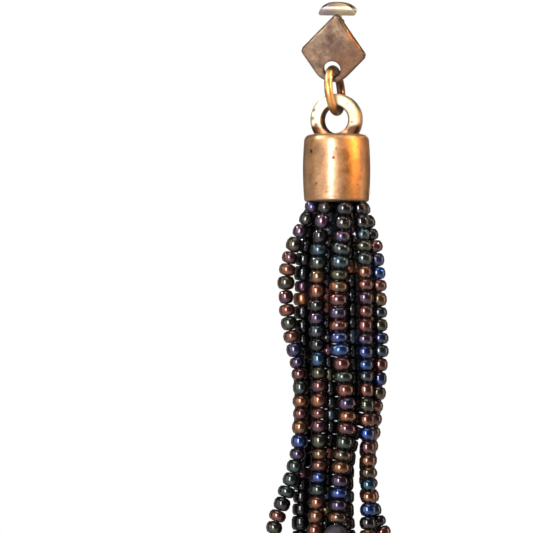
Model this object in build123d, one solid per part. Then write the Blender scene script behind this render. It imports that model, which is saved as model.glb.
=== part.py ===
from build123d import *
import math
import os

# Beaded fringe earring, in millimetres.
# The origin is on the post's axis where it leaves the plate's back face. The plate faces -Y, the
# post runs towards +Y and rises, because the weight tips the plate forwards. +Z is up.

# Diamond plate and its post, one soldered piece
PLATE_HALF_WIDTH = 4.75
PLATE_HALF_HEIGHT = 5.95
PLATE_THICKNESS = 1.4
PLATE_TOP_RADIUS = 0.5
PLATE_SIDE_RADIUS = 0.6
PLATE_BOTTOM_RADIUS = 2.95
PLATE_FRONT_EDGE = 0.32
PLATE_BACK_EDGE = 0.15
PLATE_PITCH = 18.0  # degrees that the top leans towards the viewer
PLATE_ROLL = 6.4  # degrees that the top leans to the right
POST_ABOVE_CENTRE = 1.7
POST_LEFT_OF_CENTRE = 0.2
POST_RADIUS = 0.4
POST_LENGTH = 11.0
POST_TIP_ROUND = 0.2
GROOVE_RADIUS = 0.12
GROOVE_FROM_TIP = 0.8
HOLE_RADIUS = 1.2
HOLE_BELOW_POST = 4.0
HOLE_EDGE = 0.2

# Butterfly nut, stamped from one strip whose ends are curled
NUT_FROM_TIP = 6.0
NUT_ALONG_POST = POST_LENGTH - NUT_FROM_TIP
NUT_STRIP = 0.3
NUT_CURL_RADIUS = 1.0
NUT_CURL_HEIGHT = 3.1
NUT_CURL_ANGLE = 280.0
NUT_WING_WIDTH = 6.0
NUT_WING_RISE = 1.75
NUT_WING_CORNER = 0.35
NUT_WAIST_WIDTH = 2.2
NUT_NECK_WIDTH = 1.0
NUT_COLLAR_RADIUS = 0.9
NUT_COLLAR_HEIGHT = 0.35
NUT_BORE_CLEARANCE = 0.05
NUT_ROLL = 1.0

# Jump ring of round wire with a sawn seam
WIRE_RADIUS = 0.6
RING_INSIDE_RADIUS = 2.45
RING_SEAM = 0.05
RING_SEAM_ANGLE = 25.0
RING_SEAT_GAP = 0.26
RING_SEAT_ANGLE = 5.0  # degrees round the hole, from its lowest point to where the ring rests
RING_LEAN = 5.0  # degrees that the ring's foot hangs to the right

# Barrel cap with a cast loop, one piece
DROP_TURN = -10.5  # degrees that the ring and cap are turned about the vertical
LOOP_HOLE_RADIUS = 1.95
LOOP_WALL = 1.75
LOOP_DEPTH = 2.2
LOOP_OUTER_EDGE = 0.45
LOOP_HOLE_EDGE = 0.4
LOOP_SEAT_GAP = 0.2
LOOP_ABOVE_CAP = 0.16
CAP_TOP_RADIUS = 4.55
CAP_BELLY_RADIUS = 4.82
CAP_RIM_RADIUS = 4.6
CAP_HEIGHT = 9.6
CAP_SHOULDER = 1.0
CAP_RIM_EDGE = 0.3
CAP_CROWN = 1.0
CAP_MOUTH_RADIUS = 4.1
CAP_CAVITY_EDGE = 0.9

# Knotted and glued thread heads that fill the cap
PLUG_GAP = 0.05
PLUG_BELOW_RIM = 0.1

# Strands of seed beads, each drawn as a round tube, with a large bead and a stop bead at its end.
# One strand is strung of larger beads than the rest.
FRINGE_LENGTH = 50.7
STRAND_RADIUS = 1.08
LARGE_STRAND_RADIUS = 1.35
STRAND_GAP = 0.05
THREAD_RADIUS = 0.25
END_BEAD_RADIUS = 1.7
LARGE_END_BEAD_RADIUS = 1.95
END_BEAD_BORE_RADIUS = 0.45
END_BEAD_GAP = 0.05
STOP_BEAD_RADIUS = 0.85
STOP_BEAD_LENGTH = 1.4
STOP_BEAD_EDGE = 0.35
ARC_SHARE = 0.45  # of the shorter run beside a corner
FRINGE_TURN = 7.0  # degrees from +X to the fringe's own side axis

# The same radius, apart from rounding
SAME = 1e-6

# Where each strand passes, as (side, depth) from the drop's axis. One pair belongs to each of
# these shares of the fringe's length, and the last pair belongs to the strand's own end.
LEVELS = (0.0, 0.067, 0.164, 0.27, 0.383, 0.495, 0.607, 0.72, 0.819, 0.909)
ROUTES = {
    "strand_01": ((-3.1, -1.55), (-4.9, -1.6), (-7.0, -1.4), (-7.4, -1.2), (-6.4, -1.0), (-5.1, -1.2),
                  (-5.1, -1.3), (-5.5, -1.3), (-7.2, -1.2), (-9.0, -1.0), (-9.4, -0.8)),
    "strand_02": ((-3.35, 0.7), (-4.0, 0.8), (-4.7, 0.8), (-4.9, 0.9), (-4.7, 1.2), (-4.8, 1.4),
                  (-4.7, 1.4), (-4.8, 1.4), (-5.0, 1.2), (-5.1, 1.2), (-5.2, 1.5)),
    "strand_03": ((-1.45, -3.3), (-2.4, -3.1), (-2.6, -2.9), (-2.9, -2.6), (-2.8, -2.5), (-2.5, -2.7),
                  (-2.6, -2.6), (-2.4, -2.5), (-2.7, -2.7), (-3.1, -2.9), (-3.3, -3.0)),
    "strand_04": ((1.05, -3.45), (0.9, -3.6), (0.4, -3.5), (0.1, -3.4), (0.2, -3.5), (0.9, -3.5),
                  (1.7, -3.4), (0.6, -3.5), (0.3, -3.6), (0.0, -3.8)),
    "strand_05": ((1.28, -0.23), (1.5, -0.8), (1.9, -0.5), (2.2, -0.3), (2.2, -0.5), (2.4, -0.2),
                  (2.2, -0.2), (1.2, -0.5), (1.2, -0.6), (1.4, -0.8), (1.9, -0.9)),
    "strand_06": ((3.05, -1.75), (3.7, -2.3), (3.8, -2.5), (4.1, -2.4), (3.9, -2.5), (4.1, -2.3),
                  (4.2, -2.3), (4.4, -2.5), (4.5, -2.7), (4.4, -3.2), (4.3, -3.4)),
    "strand_07": ((3.33, 0.68), (4.8, 0.0), (5.8, 0.1), (6.0, 0.1), (6.2, 0.0), (6.2, 0.1),
                  (5.3, 0.2), (4.5, 0.1), (4.6, 0.0), (5.9, 0.0), (7.6, 0.1)),
    "strand_08": ((-0.83, -1.0), (-1.1, -0.9), (-1.3, -0.8), (-1.5, -0.5), (-1.4, -0.5), (-1.0, -0.6),
                  (-0.7, -0.6), (-1.3, -0.3), (-1.4, -0.5), (-1.6, -0.4), (-1.7, 0.0)),
    "strand_09": ((-0.45, 1.22), (0.8, 1.6), (2.3, 1.9), (3.0, 2.1), (3.1, 2.0), (3.2, 2.2),
                  (2.8, 2.1), (1.3, 2.0), (1.1, 1.9), (1.2, 2.1), (1.4, 2.3)),
    "strand_10": ((2.18, 2.6), (3.4, 2.6), (4.7, 2.6), (5.3, 2.7), (5.4, 2.6), (5.5, 2.8),
                  (5.0, 2.7), (4.3, 2.7), (4.4, 2.6), (5.2, 2.9), (5.9, 3.4)),
    "strand_11": ((-2.2, 2.7), (-2.9, 3.2), (-3.6, 3.2), (-3.9, 3.3), (-3.7, 3.5), (-3.6, 3.7),
                  (-3.5, 3.6), (-3.6, 3.6), (-3.9, 3.7), (-4.1, 4.2), (-4.0, 4.7)),
    "strand_12": ((0.08, 3.4), (0.3, 3.9), (0.7, 4.1), (1.1, 4.0), (1.2, 3.9), (1.4, 4.1),
                  (1.3, 4.1), (0.9, 4.4), (0.8, 4.5), (1.0, 5.0), (1.3, 5.6)),
}
SHORTER_BY = {
    "strand_01": 1.8, "strand_02": 0.5, "strand_03": 1.2, "strand_04": 4.8,
    "strand_05": 0.2, "strand_06": 2.2, "strand_07": 1.4, "strand_08": 0.0,
    "strand_09": 2.2, "strand_10": 0.4, "strand_11": 1.9, "strand_12": 0.0,
}
LARGE_STRAND = "strand_04"


# Places that follow from the sizes

def worn(shape, roll):
    """Turns a piece of the stud from its own upright frame to the way it hangs from the ear."""
    return Rot(X=PLATE_PITCH) * Rot(Y=roll) * shape


def hanging(x, y, z):
    """A point of the plate's own upright frame, as it hangs."""
    place = Rot(X=PLATE_PITCH) * Rot(Y=PLATE_ROLL) * Pos(x, y, z)
    return place.position


# The ring rests a little left of the hole's lowest point, on the rim at the plate's back face,
# and leans so that its foot is to the right.
drop_side = Vector(math.cos(math.radians(DROP_TURN)), math.sin(math.radians(DROP_TURN)), 0)
plate_up = Vector(0, -math.sin(math.radians(PLATE_PITCH)), math.cos(math.radians(PLATE_PITCH)))
seat_angle = math.radians(RING_SEAT_ANGLE)
lean = math.radians(RING_LEAN)
hole_centre = hanging(POST_LEFT_OF_CENTRE, 0, -HOLE_BELOW_POST)
hole_seat = hole_centre - HOLE_RADIUS * (
    math.cos(seat_angle) * plate_up + math.sin(seat_angle) * Vector(1, 0, 0)
)
RING_RADIUS = RING_INSIDE_RADIUS + WIRE_RADIUS
RING_TOP = hole_seat + (WIRE_RADIUS + RING_SEAT_GAP) * Vector(
    math.sin(seat_angle), 0, math.cos(seat_angle)
)
ring_down = math.sin(lean) * drop_side - Vector(0, 0, math.cos(lean))
RING_CENTRE = RING_TOP + RING_RADIUS * ring_down
RING_FOOT = RING_TOP + 2 * RING_RADIUS * ring_down
LOOP_CENTRE = RING_FOOT - Vector(0, 0, LOOP_HOLE_RADIUS - WIRE_RADIUS - LOOP_SEAT_GAP)
CAP_TOP = LOOP_CENTRE - Vector(0, 0, LOOP_HOLE_RADIUS + LOOP_ABOVE_CAP)
CAP_RIM = CAP_TOP - Vector(0, 0, CAP_HEIGHT)
PLUG_BOTTOM = CAP_RIM - Vector(0, 0, PLUG_BELOW_RIM)
STRAND_HEAD = PLUG_BOTTOM - Vector(0, 0, STRAND_GAP)


def at_drop(point, shape):
    """Puts a shape made at the origin on the drop's axis, turned with the drop."""
    return Pos(*point) * Rot(Z=DROP_TURN) * shape


# Stud: plate and post

def plate():
    """Diamond with a cushioned front edge and a round hole near its lowest corner."""
    low, high = -POST_ABOVE_CENTRE - PLATE_HALF_HEIGHT, -POST_ABOVE_CENTRE + PLATE_HALF_HEIGHT
    middle = -POST_ABOVE_CENTRE
    outline = Polygon(
        (0, high), (-PLATE_HALF_WIDTH, middle), (0, low), (PLATE_HALF_WIDTH, middle), align=None
    )
    outline = fillet(outline.vertices().sort_by(Axis.Y)[-1], PLATE_TOP_RADIUS)
    outline = fillet(outline.vertices().sort_by(Axis.Y)[0], PLATE_BOTTOM_RADIUS)
    outline = fillet(outline.vertices().sort_by(Axis.X)[0], PLATE_SIDE_RADIUS)
    outline = fillet(outline.vertices().sort_by(Axis.X)[-1], PLATE_SIDE_RADIUS)
    body = extrude(Plane.XZ * outline, amount=PLATE_THICKNESS)
    body = fillet(body.faces().sort_by(Axis.Y)[0].edges(), PLATE_FRONT_EDGE)
    body = fillet(body.faces().sort_by(Axis.Y)[-1].edges(), PLATE_BACK_EDGE)
    hole = extrude(
        Plane.XZ * Pos(0, -HOLE_BELOW_POST) * Circle(HOLE_RADIUS), amount=PLATE_THICKNESS
    )
    body = body - hole
    rims = body.edges().filter_by(GeomType.CIRCLE).filter_by(
        lambda edge: abs(edge.radius - HOLE_RADIUS) < SAME
    )
    return Pos(POST_LEFT_OF_CENTRE, 0, 0) * fillet(rims, HOLE_EDGE)


def post():
    """Round post with a rounded tip and a shallow groove that the nut clicks into."""
    along = Plane((0, 0, 0), x_dir=(1, 0, 0), z_dir=(0, 1, 0))
    pin = extrude(along * Circle(POST_RADIUS), amount=POST_LENGTH)
    pin = fillet(pin.edges().sort_by(Axis.Y)[-1], POST_TIP_ROUND)
    groove = Torus(POST_RADIUS + GROOVE_RADIUS / 2, GROOVE_RADIUS)
    return pin - along * Pos(0, 0, POST_LENGTH - GROOVE_FROM_TIP) * groove


# Nut

def curl(sign):
    """Side outline of one curled end, as (depth, height) in the plane that holds the post."""
    centre = Pos(NUT_CURL_RADIUS, sign * NUT_CURL_HEIGHT)
    ring = centre * (Circle(NUT_CURL_RADIUS) - Circle(NUT_CURL_RADIUS - NUT_STRIP))
    opening = [(0.0, 0.0)]
    for part in (0.0, 0.5, 1.0):
        angle = math.radians(180 + part * (360 - NUT_CURL_ANGLE))
        reach = 2 * NUT_CURL_RADIUS
        opening.append((reach * math.cos(angle), sign * reach * math.sin(angle)))
    return ring - centre * Polygon(*opening, align=None)


def nut():
    """Strip with a narrow waist round its bore and two round wings that curl back."""
    strip = Pos(NUT_STRIP / 2, 0) * Rectangle(NUT_STRIP, 2 * NUT_CURL_HEIGHT)
    side = strip + curl(1) + curl(-1)
    sheet = extrude(Plane.YZ * side, amount=NUT_WING_WIDTH / 2, both=True)
    root = NUT_CURL_HEIGHT + NUT_CURL_RADIUS - NUT_WING_RISE
    wing = make_face(
        [
            ThreePointArc(
                (-NUT_WING_WIDTH / 2, root), (0, root + NUT_WING_RISE), (NUT_WING_WIDTH / 2, root)
            ),
            Line((NUT_WING_WIDTH / 2, root), (-NUT_WING_WIDTH / 2, root)),
        ]
    )
    wing = fillet(wing.vertices(), NUT_WING_CORNER)
    join = root + NUT_WING_CORNER
    waist, neck = NUT_WAIST_WIDTH / 2, NUT_NECK_WIDTH / 2
    middle = Polygon(
        (waist, 0), (neck, join), (-neck, join), (-waist, 0), (-neck, -join), (neck, -join), align=None
    )
    front = middle + wing + mirror(wing, Plane.XZ)
    depth = 2 * NUT_CURL_RADIUS
    shape = sheet & extrude(Plane.XZ * front, amount=-depth)
    along = Plane((0, 0, 0), x_dir=(1, 0, 0), z_dir=(0, 1, 0))
    shape += extrude(
        along * Pos(0, 0, -NUT_COLLAR_HEIGHT) * Circle(NUT_COLLAR_RADIUS),
        amount=NUT_COLLAR_HEIGHT + NUT_STRIP,
    )
    bore = extrude(
        along * Circle(POST_RADIUS + NUT_BORE_CLEARANCE), amount=depth, both=True
    )
    return Pos(0, NUT_ALONG_POST, 0) * (shape - bore)


# Jump ring

def jump_ring():
    """Round wire ring in the plane that holds the vertical, open at a sawn seam."""
    ring = Rot(Y=90) * Torus(RING_RADIUS, WIRE_RADIUS)
    blade = 4 * WIRE_RADIUS
    saw = Pos(0, RING_RADIUS, 0) * Box(blade, blade, RING_SEAM)
    return at_drop(RING_CENTRE, Rot(Y=-RING_LEAN) * (ring - Rot(X=RING_SEAM_ANGLE) * saw))


# End cap

def cap_loop():
    """Flat-faced cast ring that stands on the cap, with softened edges."""
    outside = LOOP_HOLE_RADIUS + LOOP_WALL
    ring = extrude(Plane.XZ * Circle(outside), amount=LOOP_DEPTH / 2, both=True)
    ring = fillet(ring.edges(), LOOP_OUTER_EDGE)
    hole = extrude(Plane.XZ * Circle(LOOP_HOLE_RADIUS), amount=LOOP_DEPTH, both=True)
    ring = ring - hole
    rims = ring.edges().filter_by(GeomType.CIRCLE).filter_by(
        lambda edge: abs(edge.radius - LOOP_HOLE_RADIUS) < SAME
    )
    return fillet(rims, LOOP_HOLE_EDGE)


def cap_barrel():
    """Slightly bellied barrel, closed by a crown and open below."""
    half = make_face(
        [
            Line((0, 0), (CAP_TOP_RADIUS, 0)),
            ThreePointArc(
                (CAP_TOP_RADIUS, 0), (CAP_BELLY_RADIUS, -CAP_HEIGHT / 2), (CAP_RIM_RADIUS, -CAP_HEIGHT)
            ),
            Line((CAP_RIM_RADIUS, -CAP_HEIGHT), (0, -CAP_HEIGHT)),
            Line((0, -CAP_HEIGHT), (0, 0)),
        ]
    )
    body = revolve(Plane.XZ * half, Axis.Z)
    body = fillet(body.edges().sort_by(Axis.Z)[-1], CAP_SHOULDER)
    return fillet(body.edges().sort_by(Axis.Z)[0], CAP_RIM_EDGE)


def cavity(radius, top, bottom):
    """Round hollow or filling below the crown, with a rounded top edge."""
    body = Pos(0, 0, (top + bottom) / 2) * Cylinder(radius, top - bottom)
    return fillet(body.edges().sort_by(Axis.Z)[-1], CAP_CAVITY_EDGE)


def end_cap():
    """Barrel and loop cast as one, hollowed for the thread heads."""
    loop = Pos(0, 0, LOOP_CENTRE.Z - CAP_TOP.Z) * cap_loop()
    body = cap_barrel() + loop
    hollow = cavity(CAP_MOUTH_RADIUS, -CAP_CROWN, -CAP_HEIGHT - CAP_CROWN)
    return at_drop(CAP_TOP, body - hollow)


def thread_plug():
    """Glued thread heads that fill the cap down to just below its rim."""
    top = -CAP_CROWN - PLUG_GAP
    return at_drop(
        CAP_TOP, cavity(CAP_MOUTH_RADIUS - PLUG_GAP, top, -CAP_HEIGHT - PLUG_BELOW_RIM)
    )


# Strands

def route(name):
    """The strand's points below its head, from its row and its own length."""
    rows = ROUTES[name]
    drops = [level * FRINGE_LENGTH for level in LEVELS[: len(rows) - 1]]
    drops.append(FRINGE_LENGTH - SHORTER_BY[name])
    turn = math.radians(FRINGE_TURN)
    points = []
    for (side, depth), drop in zip(rows, drops):
        points.append(
            STRAND_HEAD
            + Vector(
                side * math.cos(turn) - depth * math.sin(turn),
                side * math.sin(turn) + depth * math.cos(turn),
                -drop,
            )
        )
    return points


def corner_radii(points):
    """The largest arc at each corner that the two runs beside it allow."""
    radii = []
    for before, corner, after in zip(points, points[1:], points[2:]):
        half_turn = math.radians((corner - before).get_angle(after - corner)) / 2
        shorter = min((corner - before).length, (after - corner).length)
        radii.append(ARC_SHARE * shorter / math.tan(half_turn))
    return radii


def strand(name, radius, bead_radius):
    """A strand as a tube cut flat below the cap, then the thread and the stop bead at its end."""
    points = route(name)
    points[0] += (points[0] - points[1]).normalized() * radius
    radii = corner_radii(points)
    path = FilletPolyline(*points, radius=radii)
    start = Plane(origin=path @ 0, z_dir=path % 0)
    tube = sweep(start * Circle(radius), path=path)
    expected = math.pi * radius**2 * path.length
    print(name, "smallest radius", round(min(radii), 1), "length", round(path.length, 2),
          "volume over section times length", round(tube.volume / expected, 4))
    above = 2 * CAP_BELLY_RADIUS
    tube -= Pos(*STRAND_HEAD) * Pos(0, 0, above / 2) * Box(above, above, above)
    end = Plane(origin=path @ 1, z_dir=path % 1)
    bead_room = 2 * (bead_radius + END_BEAD_GAP)
    thread = Pos(0, 0, bead_room / 2) * Cylinder(THREAD_RADIUS, bead_room)
    stop = Cylinder(STOP_BEAD_RADIUS, STOP_BEAD_LENGTH)
    stop = fillet(stop.edges().filter_by(GeomType.CIRCLE), STOP_BEAD_EDGE)
    stop = Pos(0, 0, bead_room + STOP_BEAD_LENGTH / 2) * stop
    return tube + end * (thread + stop), end


def end_bead(end, radius):
    """Large round bead, drilled, that hangs below its strand's last seed bead."""
    through = 2 * (radius + END_BEAD_GAP)
    bead = Sphere(radius) - Cylinder(END_BEAD_BORE_RADIUS, through)
    return end * Pos(0, 0, radius + END_BEAD_GAP) * bead


def write(node, shape):
    """Writes one piece under its node's name."""
    export_step(shape, f"parts/{node}.step")


os.makedirs("parts", exist_ok=True)
print("ring swings about", RING_TOP, "and the drop about", RING_CENTRE, "with the drop on", CAP_TOP)
write("ear_stud", worn(plate() + post(), PLATE_ROLL))
write("ear_nut", worn(nut(), NUT_ROLL))
write("jump_ring", jump_ring())
write("end_cap", end_cap())
write("thread_plug", thread_plug())
for strand_name in ROUTES:
    large = strand_name == LARGE_STRAND
    tube_radius = LARGE_STRAND_RADIUS if large else STRAND_RADIUS
    bead_size = LARGE_END_BEAD_RADIUS if large else END_BEAD_RADIUS
    strand_shape, strand_end = strand(strand_name, tube_radius, bead_size)
    write(strand_name, strand_shape)
    write(strand_name.replace("strand", "end_bead"), end_bead(strand_end, bead_size))
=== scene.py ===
"""The looks of a beaded fringe earring: its metal pieces dressed, its strands threaded bead by
bead, and its studio."""

import logging
import math
import random
from dataclasses import dataclass, field
from enum import Enum
from typing import Any, Callable, Iterable

import bpy
from mathutils import Matrix, Vector


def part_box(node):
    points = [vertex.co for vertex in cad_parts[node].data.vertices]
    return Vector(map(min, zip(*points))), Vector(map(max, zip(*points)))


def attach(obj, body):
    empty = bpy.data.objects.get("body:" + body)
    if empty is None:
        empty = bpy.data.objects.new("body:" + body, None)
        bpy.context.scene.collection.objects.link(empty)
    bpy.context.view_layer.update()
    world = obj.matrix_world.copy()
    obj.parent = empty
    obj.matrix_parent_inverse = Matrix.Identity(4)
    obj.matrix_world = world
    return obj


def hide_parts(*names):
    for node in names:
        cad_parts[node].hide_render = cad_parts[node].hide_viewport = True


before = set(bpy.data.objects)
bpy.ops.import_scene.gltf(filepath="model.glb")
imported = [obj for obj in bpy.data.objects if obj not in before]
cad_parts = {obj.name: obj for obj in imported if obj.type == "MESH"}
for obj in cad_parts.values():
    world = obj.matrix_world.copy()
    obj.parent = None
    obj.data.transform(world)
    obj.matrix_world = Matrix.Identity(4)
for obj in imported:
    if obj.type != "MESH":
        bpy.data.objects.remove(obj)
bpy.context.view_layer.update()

MM = 0.001
LOG = logging.getLogger("fringe_earring")

# Sockets by number, because those of the Math and Mix nodes share their names
FIRST, SECOND = 0, 1
SHARE, NUMBER_A, NUMBER_B, COLOUR_A, COLOUR_B = 0, 2, 3, 6, 7
SHADER_A, SHADER_B = 1, 2
MIXED_NUMBER, MIXED_COLOUR = 0, 2

# Where the values of a noise texture mostly lie
NOISE_LOW, NOISE_HIGH = 0.3, 0.7


# Shared helpers


def linear(hex_colour: str) -> tuple[float, float, float, float]:
    """Turns an sRGB hex colour into linear red, green, blue and alpha.

    Args:
        hex_colour: Six hex digits after a hash sign.

    Returns:
        The linear colour, with an alpha of 1.
    """
    parts = [int(hex_colour[start : start + 2], 16) / 255 for start in (1, 3, 5)]
    bent = [part / 12.92 if part <= 0.04045 else ((part + 0.055) / 1.055) ** 2.4 for part in parts]
    return bent[0], bent[1], bent[2], 1.0


def set_stops(band: bpy.types.ColorRampElements, stops: Iterable[tuple[float, str]]) -> None:
    """Sets a colour ramp's stops.

    Args:
        band: The ramp's stops.
        stops: Pairs of a place from 0 to 1 and an sRGB hex colour, in rising order.
    """
    row = list(stops)
    while len(band) < len(row):
        band.new(1.0)
    for element, (place, colour) in zip(band, row):
        element.position = place
        element.color = linear(colour)


def add_node(
    tree: bpy.types.NodeTree,
    kind: str,
    settings: dict[str | int, Any] | None = None,
    links: dict[str | int, bpy.types.NodeSocket] | None = None,
) -> bpy.types.Node:
    """Adds one node, sets it up and links its inputs.

    Args:
        tree: The node tree that the node goes into.
        kind: The node's class name.
        settings: Values for its properties, or for its inputs by their names or numbers, or
            the stops of its colour ramp.
        links: Output sockets to link to its inputs, by the inputs' names or numbers.

    Returns:
        The new node.
    """
    node = tree.nodes.new(kind)
    for name, value in (settings or {}).items():
        if name == "stops":
            set_stops(node.color_ramp.elements, value)
        elif isinstance(name, str) and name in node.bl_rna.properties:
            setattr(node, name, value)
        else:
            node.inputs[name].default_value = value
    for name, source in (links or {}).items():
        tree.links.new(source, node.inputs[name])
    return node


def new_material(name: str) -> tuple[bpy.types.Material, bpy.types.NodeTree, bpy.types.Node]:
    """Starts a material with an empty tree and a Principled surface.

    Args:
        name: The material's name.

    Returns:
        The material, its node tree and its Principled node.
    """
    material = bpy.data.materials.new(name)
    material.use_nodes = True
    tree = material.node_tree
    tree.nodes.clear()
    surface = add_node(tree, "ShaderNodeBsdfPrincipled")
    add_node(tree, "ShaderNodeOutputMaterial", links={"Surface": surface.outputs["BSDF"]})
    return material, tree, surface


def dress(piece: bpy.types.Object, material: bpy.types.Material) -> None:
    """Gives a piece one material all over.

    Args:
        piece: The piece.
        material: The material.
    """
    if not piece.material_slots:
        piece.data.materials.append(material)
    for slot in piece.material_slots:
        slot.material = material


def deselect() -> None:
    """Clears the selection, so that the next operator acts on its own piece alone."""
    if bpy.context.object and bpy.context.object.mode != "OBJECT":
        bpy.ops.object.mode_set(mode="OBJECT")
    bpy.ops.object.select_all(action="DESELECT")


def choose(piece: bpy.types.Object) -> None:
    """Selects one piece alone and makes it active.

    Args:
        piece: The piece.
    """
    deselect()
    piece.select_set(True)
    bpy.context.view_layer.objects.active = piece


class Part(Enum):
    """What is selected of a mesh, as the name that edit mode has for it."""

    FACES = "FACE"
    POINTS = "VERT"


def pick(piece: bpy.types.Object, part: Part, wanted: Callable[[Any], bool]) -> None:
    """Selects the faces or points that pass a test, and leaves the piece in edit mode.

    Args:
        piece: The active piece.
        part: Whether faces or points are selected.
        wanted: The test, which is given each face or point.
    """
    bpy.ops.object.mode_set(mode="EDIT")
    bpy.ops.mesh.select_mode(type=part.value)
    bpy.ops.mesh.select_all(action="DESELECT")
    bpy.ops.object.mode_set(mode="OBJECT")
    for item in piece.data.polygons if part is Part.FACES else piece.data.vertices:
        item.select = wanted(item)
    bpy.ops.object.mode_set(mode="EDIT")


def face_outwards() -> None:
    """Turns all faces of the piece in edit mode outwards, and leaves edit mode."""
    bpy.ops.mesh.select_all(action="SELECT")
    bpy.ops.mesh.normals_make_consistent(inside=False)
    bpy.ops.object.mode_set(mode="OBJECT")


def join(pieces: list[bpy.types.Object], name: str) -> bpy.types.Object:
    """Joins mesh objects into one with its origin at the scene's.

    Args:
        pieces: The objects, the first of which is kept.
        name: The joined piece's name.

    Returns:
        The joined piece.
    """
    choose(pieces[0])
    for piece in pieces:
        piece.select_set(True)
    if len(pieces) > 1:
        bpy.ops.object.join()
    whole = bpy.context.view_layer.objects.active
    bpy.ops.object.transform_apply(location=True, rotation=True, scale=True)
    whole.name = name
    whole.data.name = name
    return whole


def link_copy(model: bpy.types.Object, name: str, place: Matrix) -> bpy.types.Object:
    """Copies a modelled piece with its own mesh and puts the copy's place into it.

    Args:
        model: The piece to copy, modelled at the origin.
        name: The copy's name.
        place: Where the copy goes.

    Returns:
        The copy.
    """
    mesh = model.data.copy()
    mesh.transform(place)
    copy = bpy.data.objects.new(name, mesh)
    bpy.context.scene.collection.objects.link(copy)
    return copy


def aim(place: Vector, direction: Vector, spin: float = 0.0) -> Matrix:
    """The matrix that stands a piece's Z axis along a direction.

    Args:
        place: Where the piece's origin goes.
        direction: Where its Z axis points.
        spin: Its turn about its own Z axis, in radians.

    Returns:
        The matrix.
    """
    turn = direction.to_track_quat("Z", "Y").to_matrix().to_4x4()
    return Matrix.Translation(place) @ turn @ Matrix.Rotation(spin, 4, "Z")


def paint(piece: bpy.types.Object, name: str, value: float) -> None:
    """Stores one number on every point of a piece's mesh, for its material to read."""
    layer = piece.data.attributes.new(name, "FLOAT", "POINT")
    layer.data.foreach_set("value", [value] * len(piece.data.vertices))


# Finishes


class Axis(Enum):
    """An axis of the object coordinates, as the name of its socket."""

    SIDE = "X"
    DEPTH = "Y"
    HEIGHT = "Z"


@dataclass(frozen=True)
class Mark:
    """A dent, scratch, stain or rubbed patch at a place on the metal, or a patch of painted light
    or painted shade, which also wears the lacquer off."""

    place_mm: tuple[float, float, float]
    radius_mm: float

    # How much of the colour below it covers
    strength: float = 1.0

    # Its colour, or none for the plating's grime
    tint: str = ""

    # The share of its radius within which it is at full strength
    solid: float = 0.25

    # How many times wider than high it is
    squash: float = 1.0


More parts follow.
